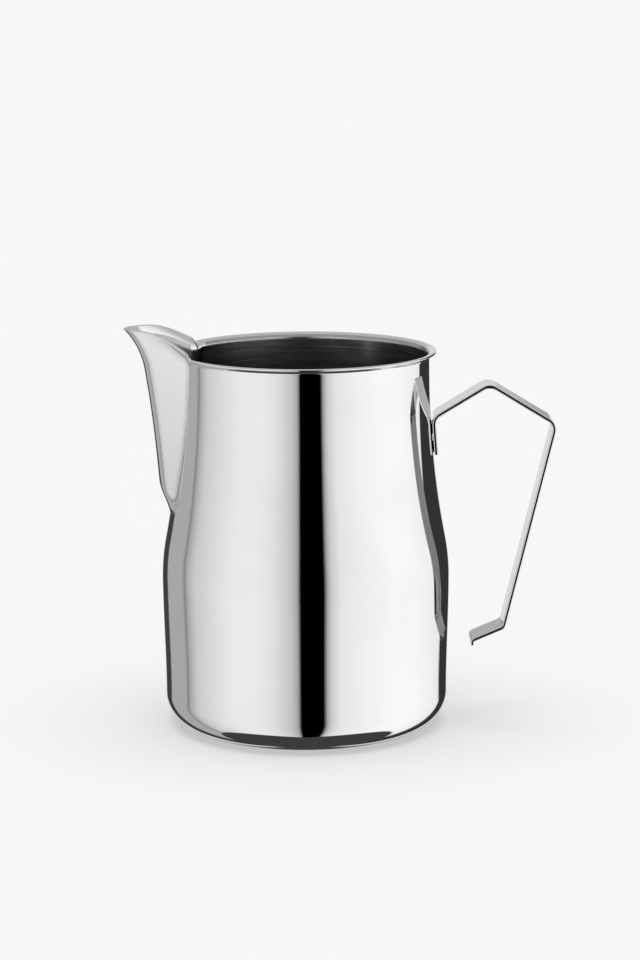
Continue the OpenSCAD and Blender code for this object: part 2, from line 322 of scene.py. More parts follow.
@dataclass
class BlendedSkin:
    """Net of points over the spout and the cup's wall beside it.

    It holds the half at y >= 0.  Column 0 is the keel and the last column lies on the
    cup, clear of the spout.  The rows fan round the spout's closed end, then climb level
    by level, follow the flare and end on the lip.
    """

    form: SpoutForm = SpoutForm()
    apron: float = 6.0
    fan_rows: int = 56
    level_rows: int = 84
    rising_rows: int = 24
    flare_rows: int = 18
    edge_rows: int = 8
    inner_cols: int = 84
    outer_cols: int = 40
    weld_inner: int = 12
    weld_outer: int = 11
    fan_height: float = 9.0
    blend_drop: float = 6.0
    crowding: float = 1.5
    lip_edge: float = 0.35
    slope_step: float = 0.02
    outer: Array = field(init=False)
    normals: Array = field(init=False)
    edge: Array = field(init=False)
    edge_normals: Array = field(init=False)

    def _crease_reach(self, focus: float, angles: Array) -> Array:
        """Distance from the fan's centre to the crease, in each direction.

        Args:
            focus: height of the fan's centre.
            angles: directions below the level, in radians.

        Returns:
            One distance for each direction.
        """
        low, high = np.zeros_like(angles), np.full_like(angles, 40.0)
        for _ in range(60):
            mid = (low + high) / 2
            inside = self.form.half_width(focus - mid * np.sin(angles)) > mid * np.cos(angles) + 1e-9
            inside &= focus - mid * np.sin(angles) > self.form.bottom
            low, high = np.where(inside, mid, low), np.where(inside, high, mid)
        return low

    def __post_init__(self) -> None:
        """Place every point of the half net, then its lip edge."""
        form, cup = self.form, self.form.cup
        focus = form.bottom + self.fan_height
        blend = cup.flare_start - self.blend_drop
        inner = 1.0 - (1.0 - np.linspace(0, 1, self.inner_cols + 1)) ** self.crowding
        beyond = self.apron * np.linspace(0, 1, self.outer_cols + 1)[1:] ** self.crowding
        beyond = np.append(beyond, self.apron * 1.02)
        share = np.concatenate([inner, np.ones_like(beyond)])
        reach = np.concatenate([np.zeros_like(inner), beyond])

        turn = np.radians(np.linspace(90.0, 0.0, self.fan_rows + 1))
        rho = self._crease_reach(focus, turn)[:, None] * share + reach
        fan_y = rho * np.cos(turn)[:, None]
        fan_z = focus - rho * np.sin(turn)[:, None]
        fan_y[0] = 0.0

        level_z = np.linspace(focus, blend, self.level_rows + 1)[1:, None] + 0.0 * share
        lip_rise, weight, swing = self._lip(share, reach)
        top = cup.rim_height + lip_rise
        flare_up = mix(-(cup.sheet + cup.flare_drop), -(form.lip_height + self.lip_edge), weight)
        climb = np.linspace(0, 1, self.rising_rows + 1)[1:, None]
        rise_z = mix(blend, top + flare_up, climb)

        q = np.append(np.linspace(0, 1, self.flare_rows + 1)[1:], 1.0 + 0.4 / self.flare_rows)[:, None]
        bend = np.minimum(q, 1.0) * math.pi / 2
        past = np.maximum(q - 1.0, 0.0)
        cup_up = -cup.sheet - cup.flare_drop * (1.0 - np.sin(bend))
        cup_out = cup.flare_reach * (1.0 - np.cos(bend)) + past * cup.flare_reach
        lip_up = -self.lip_edge - form.lip_height * (1.0 - q)
        flare_z = top + mix(cup_up, lip_up, weight)
        out = mix(cup_out, swing * q * q, weight)

        z = np.concatenate([level_z, rise_z, flare_z])
        y = np.concatenate([fan_y, form.half_width(z) * share + reach])
        z = np.concatenate([fan_z, z])
        push = np.concatenate([np.zeros((len(y) - len(out), y.shape[1])), out])
        x = form.section(y, z)
        step = self.slope_step
        lean = (form.section(y + step, z) - form.section(np.abs(y - step), z)) / (2 * step)
        lean[:, 0] = 0.0
        flat = unit(np.stack([-np.ones_like(lean), -lean, np.zeros_like(lean)], axis=-1))
        points = np.stack([-x, y, z], axis=-1) + flat * push[..., None]
        points[:, 0, 1] = 0.0
        points[0, :, 1] = 0.0

        normals = self._normals(points)
        self.outer, self.normals = points[:-1, :-1], normals[:-1, :-1]
        self._fit_border(y[:-1, -2], z[:-1, -2], push[:-1, -2])
        self._round_edge()

    def _lip(self, share: Array, reach: Array) -> tuple[Array, Array, Array]:
        """Height and flare of the lip along the columns.

        Args:
            share: part of the way from the keel to the crease, for each column.
            reach: distance past the crease, for each column.

        Returns:
            Rise above the rim, weight of the spout's flare against the cup's, and
            outward swing of the spout's flare.
        """
        form = self.form
        flat = form.flat_start(form.cup.rim_height)
        run = form.half_top - flat
        width = share * form.half_top
        inward = form.half_top - width - reach
        along = np.clip((inward + form.lip_lead) / (run + form.lip_lead), 0.0, 1.0)
        rise = form.rise * np.sin(along * math.pi / 2) ** form.lip_hollow
        start, full = form.lip_fade
        weight = smooth((inward - start) / (full - start))
        swing = form.lip_swing * smooth(0.5 + 0.5 * (width - flat) / run) * np.clip(
            (width - 0.3 * flat) / (form.half_top - 0.3 * flat), 0.0, 1.0)
        return rise, weight, swing

    def _normals(self, points: Array) -> Array:
        """Outward normals of the half net, which carries on mirrored past y = 0.

        Args:
            points: the net, with one spare row and column at its far ends.

        Returns:
            Unit normals with the shape of points.
        """
        up_pad = np.concatenate([mirrored(points[1:2]), points])
        up = line_slopes(up_pad)[1:]
        side_pad = np.concatenate([mirrored(points[:, 1:2]), points], axis=1)
        side = np.swapaxes(line_slopes(np.swapaxes(side_pad, 0, 1)), 0, 1)[:, 1:]
        normals = unit(np.cross(up, side))
        fan = self.fan_rows + 1
        normals[:fan, 0] = normals[fan, 0]
        normals[0, :, 1] = 0.0
        normals[:, 0, 1] = 0.0
        return unit(normals)

    def _fit_border(self, y: Array, z: Array, push: Array) -> None:
        """Put the last column exactly on the cup, so that the cup's own skin joins it.

        Args:
            y: distances of the column from the middle plane, before the flare.
            z: heights of the column.
            push: flare of the column.
        """
        r = self.form.cup.wall_radius(z)
        x = np.sqrt(r * r - y * y)
        radial = np.stack([-x / r, y / r, np.zeros_like(r)], axis=-1)
        radius = r + push
        column = radial * radius[:, None]
        column[:, 2] = z
        self.outer[:, -1] = column
        slope = line_slopes(np.stack([radius, z], axis=-1))
        slope[-1] = [1.0, 0.0]
        self.normals[:, -1] = radial * slope[:, 1:2]
        self.normals[:, -1, 2] = -slope[:, 0]

    def _round_edge(self) -> None:
        """Roll the lip's edge over from the outer skin to the inner one."""
        lip, n = self.outer[-1], self.normals[-1]
        along = line_slopes(np.concatenate([mirrored(lip[1:2]), lip]))[1:]
        along[-1] = unit(np.array([lip[-1, 1], -lip[-1, 0], 0.0]))
        forward = unit(np.cross(n, along))
        rows = self.outer[-1] - self.outer[-2]
        forward = forward * np.sign((forward * rows).sum(-1, keepdims=True))
        forward[0, 1] = 0.0
        half = self.form.cup.sheet / 2
        turn = np.linspace(0, math.pi, self.edge_rows + 1)[1:-1, None, None]
        self.edge_normals = unit(np.cos(turn) * n + np.sin(turn) * forward)
        self.edge = lip - half * n + half * self.edge_normals

    @property
    def lip_polish(self) -> int:
        """Inner rows below the lip that are polished like the outside."""
        return self.flare_rows // 2

    @property
    def inner(self) -> Array:
        """The inner skin, one sheet thickness behind the outer one."""
        return self.outer - self.normals * self.form.cup.sheet

    def wrapped(self, first: int, last: int) -> tuple[Array, Array]:
        """Points and normals of some columns, up the outer skin, over the lip and down inside."""
        points = np.concatenate([self.outer, self.edge, self.inner[::-1]])
        normals = np.concatenate([self.normals, self.edge_normals, -self.normals[::-1]])
        return points[:, first:last + 1], normals[:, first:last + 1]

    def columns(self, region: Region) -> tuple[int, int]:
        """First and last column of a region of the half net."""
        crease, k = self.inner_cols, list(Region).index(region)
        marks = (0, crease - self.weld_inner, crease + self.weld_outer, crease + self.outer_cols)
        return marks[k], marks[k + 1]


@dataclass
class SheetMesh:
    """Gathers nets of points into one closed mesh with exact normals."""

    name: str
    grid: float = 5e3
    count: int = 0
    points: list[Array] = field(default_factory=list)
    normals: list[Array] = field(default_factory=list)
    faces: list[tuple[Array, int]] = field(default_factory=list)

    def add_net(self, points: Array, normals: Array, flip: bool = False,
                finishes: Array | None = None) -> Array:
        """Add a net of four-sided faces.

        Args:
            points: corners in millimetres, shape (rows, columns, 3).
            normals: their normals.
            flip: turns the faces over.
            finishes: finish number of each face, all 0 if left out.

        Returns:
            Numbers of the net's corners.
        """
        n = np.arange(self.count, self.count + points[..., 0].size).reshape(points.shape[:2])
        self.points.append(points.reshape(-1, 3))
        self.normals.append(normals.reshape(-1, 3))
        self.count += n.size
        ring = [n[:-1, :-1], n[:-1, 1:], n[1:, 1:], n[1:, :-1]]
        quads = np.stack(ring[::-1] if flip else ring, axis=-1)
        chosen = np.zeros(quads.shape[:2], int) if finishes is None else finishes
        for finish in np.unique(chosen):
            self.faces.append((quads[chosen == finish], int(finish)))
        return n

    def add_wall(self, first: Array, second: Array, flip: bool = False) -> None:
        """Close the cut end of a sheet between its outer and inner line of corners."""
        ring = [first[:-1], second[:-1], second[1:], first[1:]]
        self.faces.append((np.stack(ring[::-1] if flip else ring, axis=-1), 0))

    def add_cap(self, ring: Array) -> None:
        """Close a hole with one flat many-sided face."""
        self.faces.append((ring[None, :], 0))

    def add_region(self, skin: BlendedSkin, region: Region, polished: int | Array) -> None:
        """Add both mirrored halves of a region of the skin and close their cut ends.

        Args:
            skin: the whole skin.
            region: its region; the cup's far end stays open, as the cup's wall joins it.
            polished: inner rows below the lip with the first finish, in all or per column.
        """
        first, last = skin.columns(region)
        points, normals = skin.wrapped(first, last)
        rows = len(skin.outer)
        # Faces deeper than these rows take the second finish; on the cup and spout that is the darker inside
        # steel, which paints their shade.
        deep = rows + len(skin.edge) + np.broadcast_to(polished, last - first)
        finishes = (np.arange(len(points) - 1)[:, None] > deep).astype(int)
        for side in SIDES:
            numbers = self.add_net(points * side, normals * side, flip=side[1] > 0, finishes=finishes)
            cuts = [] if region is Region.CUP else [(numbers[:, -1], side[1] > 0)]
            if first > 0:
                cuts.append((numbers[:, 0], side[1] < 0))
            for line, turned in cuts:
                self.add_wall(line[:rows], line[::-1][:rows], flip=turned)
                self.add_cap(line[rows - 1:len(line) - rows + 1][::1 if turned else -1])

    def build(self, materials: list[bpy.types.Material]) -> bpy.types.Object:
        """Join equal corners and make the object.

        Args:
            materials: finishes in the order of the finish numbers.

        Returns:
            The new object, linked to the scene.
        """
        points, normals = np.concatenate(self.points), np.concatenate(self.normals)
        keys = np.round(points * self.grid).astype(np.int64)
        _, first, back = np.unique(keys, axis=0, return_index=True, return_inverse=True)
        back = back.reshape(-1)
        merged = np.zeros((len(first), 3))
        np.add.at(merged, back, normals)
        merged = unit(merged)
        faces, finishes = [], []
        for block, finish in self.faces:
            for face in back[block]:
                ring = [int(v) for k, v in enumerate(face) if v != face[k - 1]]
                if len(ring) > 2 and len(set(ring)) == len(ring):
                    faces.append(ring)
                    finishes.append(finish)
        mesh = bpy.data.meshes.new(self.name)
        mesh.from_pydata((points[first] * MM).tolist(), [], faces)
        for material in materials:
            mesh.materials.append(material)
        mesh.polygons.foreach_set("material_index", finishes)
        mesh.polygons.foreach_set("use_smooth", [True] * len(faces))
        mesh.update()
        mesh.normals_split_custom_set_from_vertices(merged.tolist())
        log.info("%s: %d corners, %d faces", self.name, len(first), len(faces))
        return put(self.name, mesh)


class NodeBoard:
    """Short words for wiring a material's or a world's nodes."""

    def __init__(self, tree: bpy.types.NodeTree) -> None:
        """Start on an emptied node tree."""
        self.tree = tree
        tree.nodes.clear()

    def node(self, kind: str, **settings: object) -> bpy.types.Node:
        """Add a node and set its properties and unlinked inputs.

        Args:
            kind: node type, such as "ShaderNodeBump".
            settings: properties by name, then inputs as in_Name with _ for spaces; a value
                that is a socket is linked.

        Returns:
            The new node.
        """
        made = self.tree.nodes.new(kind)
        for key, value in settings.items():
            if key.startswith("in_"):
                self.feed(made.inputs[key[3:].replace("_", " ")], value)
            else:
                setattr(made, key, value)
        return made

    def feed(self, target: Socket, value: object) -> None:
        """Link a socket to an input, or set the input to a plain value."""
        if isinstance(value, Socket):
            self.tree.links.new(value, target)
        else:
            target.default_value = value

    def math(self, operation: str, *values: object, clamp: bool = False) -> Socket:
        """Add a Math node.

        Args:
            operation: the node's operation.
            values: numbers or sockets for its inputs.
            clamp: holds the result between 0 and 1.

        Returns:
            The node's output.
        """
        made = self.node("ShaderNodeMath", operation=operation, use_clamp=clamp)
        for target, value in zip(made.inputs, values):
            self.feed(target, value)
        return made.outputs[0]

    def product(self, *values: Socket) -> Socket:
        """Multiply two or more values."""
        return reduce(lambda a, b: self.math("MULTIPLY", a, b), values)

    def remap(self, value: Socket, low: float, high: float, to_low: float = 0.0,
              to_high: float = 1.0) -> Socket:
        """Map the range low to high, in either order, smoothly to another and hold it there."""
        made = self.node("ShaderNodeMapRange", interpolation_type="SMOOTHSTEP", in_Value=value,
                         in_From_Min=low, in_From_Max=high, in_To_Min=to_low, in_To_Max=to_high)
        return made.outputs["Result"]

    def blend(self, factor: Socket, first: object, second: object) -> Socket:
        """Mix two colours.

        Args:
            factor: share of the second.
            first: colour output, (red, green, blue) or grey level where the factor is 0.
            second: the same where the factor is 1.

        Returns:
            The mixed colour.
        """
        made = self.node("ShaderNodeMix", data_type="RGBA", in_Factor=factor)
        for name, value in (("A", first), ("B", second)):
            if isinstance(value, float):
                value = (value, value, value)
            self.feed(made.inputs[name], (*value, 1.0) if isinstance(value, tuple) else value)
        return made.outputs["Result"]

    def noise(self, place: Socket, scale: float, detail: float,
              roughness: float) -> Socket:
        """Add a noise texture and return its value."""
        return self.node("ShaderNodeTexNoise", in_Vector=place, in_Scale=scale, in_Detail=detail,
                         in_Roughness=roughness).outputs["Fac"]

    def finish(self, kind: str, shader: bpy.types.Node) -> None:
        """Send a shader to the output of a "Material" or a "World"."""
        self.node("ShaderNodeOutput" + kind, in_Surface=shader.outputs[0])


@dataclass(frozen=True)
class SteelFinish:
    """Stainless steel with fine working marks that all run one way.

    The marks are noise drawn out along the directions of small scale; they vary the
    gloss and raise a slight relief.  Cloudy noise stands for uneven hand polishing.
    """

    name: str
    tint: tuple[float, float, float] = (0.90, 0.90, 0.895)
    dark_tint: tuple[float, float, float] = (0.865, 0.865, 0.862)
    gloss: Band = (0.02, 0.045)
    mark_scale: tuple[float, float, float] = (60.0, 60.0, 5200.0)
    relief: float = 0.04
    relief_depth: float = 0.00001
    cloud_scale: float = 38.0
    cloud_band: Band = (0.35, 0.6)
    gloss_band: Band = (0.3, 0.7)
    mark_share: float = 0.6

    def make(self) -> bpy.types.Material:
        """Build the material.

        Returns:
            The new material.
        """
        material = bpy.data.materials.new(self.name)
        material.use_nodes = True
        board = NodeBoard(material.node_tree)
        place = board.node("ShaderNodeTexCoord").outputs["Object"]
        stretch = board.node("ShaderNodeMapping", in_Vector=place, in_Scale=self.mark_scale)
        marks = board.noise(stretch.outputs["Vector"], 1.0, 3.0, 0.6)
        cloud = board.noise(place, self.cloud_scale, 4.0, 0.55)
        spread = board.math("ADD", board.math("MULTIPLY", marks, self.mark_share),
                            board.math("MULTIPLY", cloud, 1.0 - self.mark_share))
        bump = board.node("ShaderNodeBump", in_Strength=self.relief, in_Distance=self.relief_depth,
                          in_Height=marks)
        shader = board.node(
            "ShaderNodeBsdfPrincipled", in_Metallic=1.0, in_IOR=2.5, in_Normal=bump.outputs["Normal"],
            in_Base_Color=board.blend(board.remap(cloud, *self.cloud_band), self.dark_tint, self.tint),
            in_Roughness=board.remap(spread, *self.gloss_band, *self.gloss))
        board.finish("Material", shader)
        return material


class Finishes:
    """The steel finishes of the pitcher, made once."""

    def __init__(self) -> None:
        """Make every finish."""
        self.mirror = SteelFinish("mirror_polished_steel").make()
        self.spout = SteelFinish("polished_spout_steel", mark_scale=(900.0, 900.0, 120.0)).make()
        # The inside steel has a far darker tint than the outside: painted shade for the dim inside of the cup
        # and spout, over a real rougher satin gloss.
        self.satin_with_painted_shade = SteelFinish(
            "satin_inside_steel_painted_shade", tint=(0.55, 0.55, 0.548), dark_tint=(0.46, 0.46, 0.458), gloss=(0.14, 0.28),
            mark_scale=(45.0, 45.0, 2600.0), relief=0.25, relief_depth=0.00003).make()
        self.weld = SteelFinish(
            "ground_weld_steel", tint=(0.88, 0.88, 0.875), dark_tint=(0.8, 0.8, 0.79), gloss=(0.06, 0.13),
            mark_scale=(1500.0, 700.0, 300.0), relief=0.12, relief_depth=0.00003, cloud_scale=160.0).make()
        self.strap = SteelFinish("polished_strap_steel", mark_scale=(80.0, 3800.0, 80.0)).make()
        # The strap's inner face, towards the cup, has a darker tint: painted shade, over a real rougher
        # brushed gloss.
        self.strap_inside_painted_shade = SteelFinish(
            "brushed_strap_steel_painted_shade", tint=(0.52, 0.52, 0.517), dark_tint=(0.45, 0.45, 0.447),
            gloss=(0.06, 0.12), mark_scale=(80.0, 3800.0, 80.0), relief=0.1).make()
        self.spot = SteelFinish(
            "dull_spot_weld_steel", tint=(0.7, 0.69, 0.68), dark_tint=(0.55, 0.54, 0.53), gloss=(0.22, 0.38),
            mark_scale=(1400.0, 1400.0, 1400.0), relief=0.5, relief_depth=0.00006, cloud_scale=900.0).make()


@dataclass
class CupShell:
    """Deep-drawn cup with its rolled rim, its base bead and the wall round the spout."""

    skin: BlendedSkin
    finishes: Finishes
    around: int = 288
    weld_polish: int = 30

    def _profile(self) -> tuple[Array, Array, Array, int]:
        """Outer profile of the cup from the middle of the base up to the rim's edge.

        Returns:
            Radii, heights, unit normals as (outward, up), and the number of rows below
            those shared with the skin round the spout.
        """
        cup = self.skin.form.cup
        column = self.skin.outer[:, -1]
        foot_r, foot_z = cup.foot_profile()
        wall_z = np.linspace(cup.corner_radius, column[0, 2], 72)[1:-1]
        r = np.concatenate([foot_r, cup.wall_radius(wall_z), np.hypot(column[:, 0], column[:, 1])])
        z = np.concatenate([foot_z, wall_z, column[:, 2]])
        slope = line_slopes(np.stack([r, z], axis=-1))
        slope[0] = [1.0, 0.0]
        slope[-1] = [1.0, 0.0]
        normals = np.stack([slope[:, 1], -slope[:, 0]], axis=-1)
        return r, z, normals, len(r) - len(column)

    def build(self) -> bpy.types.Object:
        """Build the cup.

        Returns:
            The cup's object.
        """
        mesh = SheetMesh(Region.CUP.value)
        skin, sheet = self.skin, self.skin.form.cup.sheet
        r, z, n, low = self._profile()
        column = skin.outer[:, -1]
        border = np.concatenate([np.zeros(low), np.degrees(np.arctan2(column[:, 1], -column[:, 0]))])
        even = np.linspace(0.0, 360.0, self.around + 1)
        near = np.clip(1.0 - even / 90.0, 0.0, 1.0) ** 2
        turn = np.radians(even + border[:, None] * (near - near[::-1]))
        radial = np.stack([-np.cos(turn), -np.sin(turn), np.zeros_like(turn)], axis=-1)
        outer = radial * r[:, None, None] + UP * z[:, None, None]
        normals = radial * n[:, :1, None] + UP * n[:, 1:, None]
        for side, k in zip(SIDES, (-1, 0)):
            outer[low:, k] = column * side
            normals[low:, k] = skin.normals[:, -1] * side
        inner = outer - normals * sheet
        inner[0] = UP * sheet
        roll = np.linspace(0, math.pi, skin.edge_rows + 1)[1:-1, None, None]
        edge_n = np.cos(roll) * normals[-1] + np.sin(roll) * radial[-1]
        edge = outer[-1] - normals[-1] * sheet / 2 + edge_n * sheet / 2
        for side, k in zip(SIDES, (-1, 0)):
            edge[:, k] = skin.edge[:, -1] * side
            edge_n[:, k] = skin.edge_normals[:, -1] * side
        points = np.concatenate([outer, edge, inner[::-1]])
        directions = np.concatenate([normals, edge_n, -normals[::-1]])
        # Inner rows deeper than the polished band below the lip take the darker inside steel, which paints
        # the shade inside the cup.
        finish = np.arange(len(points) - 1) > len(outer) + len(edge) + skin.lip_polish
        mesh.add_net(points, directions, finishes=np.repeat(finish[:, None], self.around, axis=1).astype(int))

        first, last = skin.columns(Region.CUP)
        # Beside the weld the bright polished band inside reaches deeper before the painted shade begins,
        # tapering to the lip's band away from the spout.
        taper = smooth(np.arange(last - first) / (last - first - 1))
        deep = skin.flare_rows + skin.rising_rows + self.weld_polish
        mesh.add_region(skin, Region.CUP, mix(deep, skin.lip_polish, taper))
        return mesh.build([self.finishes.mirror, self.finishes.satin_with_painted_shade])


@dataclass
class SkinPiece:
    """A piece cut out of the blended skin between two columns: the spout or the weld."""

    skin: BlendedSkin
    region: Region
    outside: bpy.types.Material
    inside: bpy.types.Material

    def build(self) -> bpy.types.Object:
        """Build both mirrored halves as one closed sheet.

        Returns:
            The piece's object.
        """
        mesh = SheetMesh(self.region.value)
        mesh.add_region(self.skin, self.region, self.skin.lip_polish)
        return mesh.build([self.outside, self.inside])


@dataclass
class StrapPath:
    """Centreline of the strap in the plane y = 0, as straight runs and round bends."""

    cup: CupForm
    thickness: float = 1.1
    flange_top: float = 20.0
    flange_length: float = 11.0
    apex: tuple[float, float] = (17.5, 10.0)
    corner: tuple[float, float] = (31.2, 22.0)
    hook: tuple[float, float] = (16.1, 29.2)
    hook_length: float = 10.6
    hook_slope: float = 23.0
    radii: tuple[float, ...] = (0.0, 3.6, 3.6, 3.6, 1.6, 1.2, 0.0)
    tail: float = 0.3
    step: float = 0.8
    flange_step: float = 0.22
    bend_step: float = 0.07

    def flange(self) -> tuple[Array, Array, Array, Array]:
        """Trace the flange's inner face on the cup's wall.

        Returns:
            Its lower end, upper end, direction and outward normal, as (x, z).
        """
        top = self.cup.rim_height - self.flange_top
        low, high = (np.array([float(self.cup.wall_radius(z)), z]) for z in (top - self.flange_length, top))
        along = unit(high - low)
        return low, high, along, np.array([along[1], -along[0]])

    def corners(self) -> list[Array]:
        """Place the corners of the centreline.

        Returns:
            Corner points as (x, z), from the flange to the turned end.
        """
        low, high, _, out = self.flange()
        middle = out * self.thickness / 2
        belly, rim = self.cup.belly_radius, self.cup.rim_height
        apex = np.array([self.cup.neck_radius + self.apex[0], rim - self.apex[1]])
        corner = np.array([belly + self.corner[0], rim - self.corner[1]])
        hook = np.array([belly + self.hook[0], self.hook[1]])
        c, s = math.cos(math.radians(self.hook_slope)), math.sin(math.radians(self.hook_slope))
        end = hook - self.hook_length * np.array([c, s])
        curl = end + (self.radii[5] + self.tail) * np.array([s, -c])
        return [low + middle, high + middle, apex, corner, hook, end, curl]

    def trace(self) -> tuple[Array, Array]:
        """Points and directions along the centreline, closest on the flange and its weld marks.

        Returns:
            Points and unit directions as (x, z).
        """
        c = self.corners()
        points, ways, a = [], [], c[0]
        for k in range(1, len(c)):
            u = unit(c[k] - c[k - 1])
            w = unit(c[k + 1] - c[k]) if k + 1 < len(c) else u
            turn = math.asin(float(u[0] * w[1] - u[1] * w[0]))
            cut = self.radii[k] * math.tan(abs(turn) / 2)
            b = c[k] - u * cut
            gap = self.step if k > 1 else self.flange_step
            t = np.linspace(0, 1, max(2, int(math.dist(a, b) / gap) + 1))[min(k - 1, 1):, None]
            points.append(a + (b - a) * t)
            ways.append(np.repeat(unit(b - a)[None], len(t), axis=0))
            if k + 1 < len(c):
                a = c[k] + w * cut
                left = np.array([-u[1], u[0]])
                reach = self.radii[k] * math.copysign(1.0, turn)
                angle = np.linspace(0, turn, max(6, int(abs(turn) / self.bend_step)) + 1)[1:, None]
                way = u * np.cos(angle) + left * np.sin(angle)
                points.append(b + left * reach + reach * np.concatenate([way[:, 1:], -way[:, :1]], axis=1))
                ways.append(way)
        return np.concatenate(points), np.concatenate(ways)


@dataclass
class StrapHandle:
    """Handle bent from one flat strap with rounded long edges."""

    path: StrapPath
    finishes: Finishes
    width: float = 11.0
    edge_radius: float = 0.32
    end_radius: float = 0.3
    spot_pitch: float = 5.2
    spot_back: float = 1.0
    spot_radius: float = 1.6
    spot_depth: float = 0.13
    spot_margin: float = 0.35
    spot_ramp: float = 0.5
    marked_rows: int = 80
    corner_cuts: int = 7
    face_cuts: int = 48

    def _cross(self) -> tuple[Array, Array]:
        """Cross-section of the strap, all the way round.

        Returns:
            Points and normals as (across the thickness, along y).
        """
        h, w, e = self.path.thickness / 2, self.width / 2, self.edge_radius
        points, normals = [], []
        for k, (sx, sy) in enumerate(((1, -1), (1, 1), (-1, 1), (-1, -1))):
            start = math.radians(-90 + 90 * k)
            for angle in np.linspace(start, start + math.pi / 2, self.corner_cuts):
                n = np.array([math.cos(angle), math.sin(angle)])
                points.append(np.array([sx * (h - e), sy * (w - e)]) + n * e)
                normals.append(n)
            if k % 2 == 0:
                flat = np.linspace(sy * (w - e), -sy * (w - e), self.face_cuts)[1:-1]
                points += [np.array([sx * h, y]) for y in flat]
                normals += [np.array([float(sx), 0.0])] * len(flat)
        return np.array(points), np.array(normals)

    def spots(self) -> list[Array]:
        """Middles of the spot welds on the flange's inner face, as (x, z)."""
        low, high, along, _ = self.path.flange()
        middle = (low + high) / 2 - along * self.spot_back
        return [middle + along * s * self.spot_pitch / 2 for s in (-1.0, 1.0)]

    def _end_rows(self, point: Array, way: Array, sense: float) -> list[tuple]:
        """Rows of one rounded end, outwards: centre, direction, shrink and facing (sense 1 or -1)."""
        angles = np.linspace(0, math.pi / 2, 6)[1:]
        return [(point + way * sense * self.end_radius * math.sin(a), way,
                 self.end_radius * (1 - math.cos(a)), sense * math.sin(a)) for a in angles]

    def build(self) -> bpy.types.Object:
        """Build the handle.

        Returns:
            The handle's object.
        """
        centres, ways = self.path.trace()
        cross, cross_n = self._cross()
        first_in = centres[0] + ways[0] * self.end_radius
        last_in = centres[-1] - ways[-1] * self.end_radius
        body = [(first_in, ways[0]), *zip(centres[2:-1], ways[2:-1]), (last_in, ways[-1])]
        rows = self._end_rows(first_in, ways[0], -1.0)[::-1]
        rows += [(centre, way, 0.0, 0.0) for centre, way in body]
        rows += self._end_rows(last_in, ways[-1], 1.0)
        net = np.zeros((len(rows), len(cross), 3))
        net_n = np.zeros_like(net)
        flat_face, spots = cross_n[:, 0] > 0.99, self.spots()
        for k, (centre, way, shrink, facing) in enumerate(rows):
            outward = np.array([way[1], -way[0]])
            reduced = cross - cross_n * shrink
            flat = centre + reduced[:, :1] * outward
            net[k] = np.stack([flat[:, 0], reduced[:, 1], flat[:, 1]], axis=-1)
            tilted = cross_n * math.sqrt(1 - facing * facing)
            side = tilted[:, :1] * outward + way * facing
            net_n[k] = np.stack([side[:, 0], tilted[:, 1], side[:, 1]], axis=-1)
            if k < self.marked_rows:
                self._press_marks(net[k], net_n[k], flat_face, spots)
        mesh = SheetMesh("strap_handle")
        closed = np.concatenate([net, net[:, :1]], axis=1)
        closed_n = np.concatenate([net_n, net_n[:, :1]], axis=1)
        # The inner flat face takes the darker strap steel, which paints the shade on the side towards the
        # cup.
        inner_face_painted_shade = flat_face & np.roll(flat_face, -1)
        finish = np.repeat(inner_face_painted_shade[None, :], len(rows) - 1, axis=0).astype(int)
        numbers = mesh.add_net(closed, unit(closed_n), finishes=finish)
        mesh.add_cap(numbers[0, :-1][::-1])
        mesh.add_cap(numbers[-1, :-1])
        return mesh.build([self.finishes.strap, self.finishes.strap_inside_painted_shade])

    def _press_marks(self, row: Array, row_n: Array, outside: Array,
                     spots: list[Array]) -> None:
        """Sink the electrode marks into one row of the flange's outer face.

        Args:
            row: points of the row, changed in place.
            row_n: normals of the row, changed in place.
            outside: which points lie on the outer face.
            spots: middles of the spot welds.
        """
        _, _, along, out = self.path.flange()
        ahead, normal = np.array([along[0], 0.0, along[1]]), np.array([out[0], 0.0, out[1]])
        for spot in spots:
            offset = row - np.array([spot[0], 0.0, spot[1]])
            flat = np.stack([offset @ ahead, offset[:, 1]], axis=-1)
            away = np.linalg.norm(flat, axis=-1)
            t = np.clip((self.spot_radius + self.spot_margin - away) / self.spot_ramp, 0.0, 1.0)
            depth = self.spot_depth * t * t * (3 - 2 * t) * outside
            steep = self.spot_depth * 6 * t * (1 - t) / self.spot_ramp * outside
            tilt = flat / np.maximum(away, 1e-6)[:, None] * -steep[:, None]
            row -= depth[:, None] * normal
            row_n += tilt[:, :1] * ahead + tilt[:, 1:] * ALONG_Y


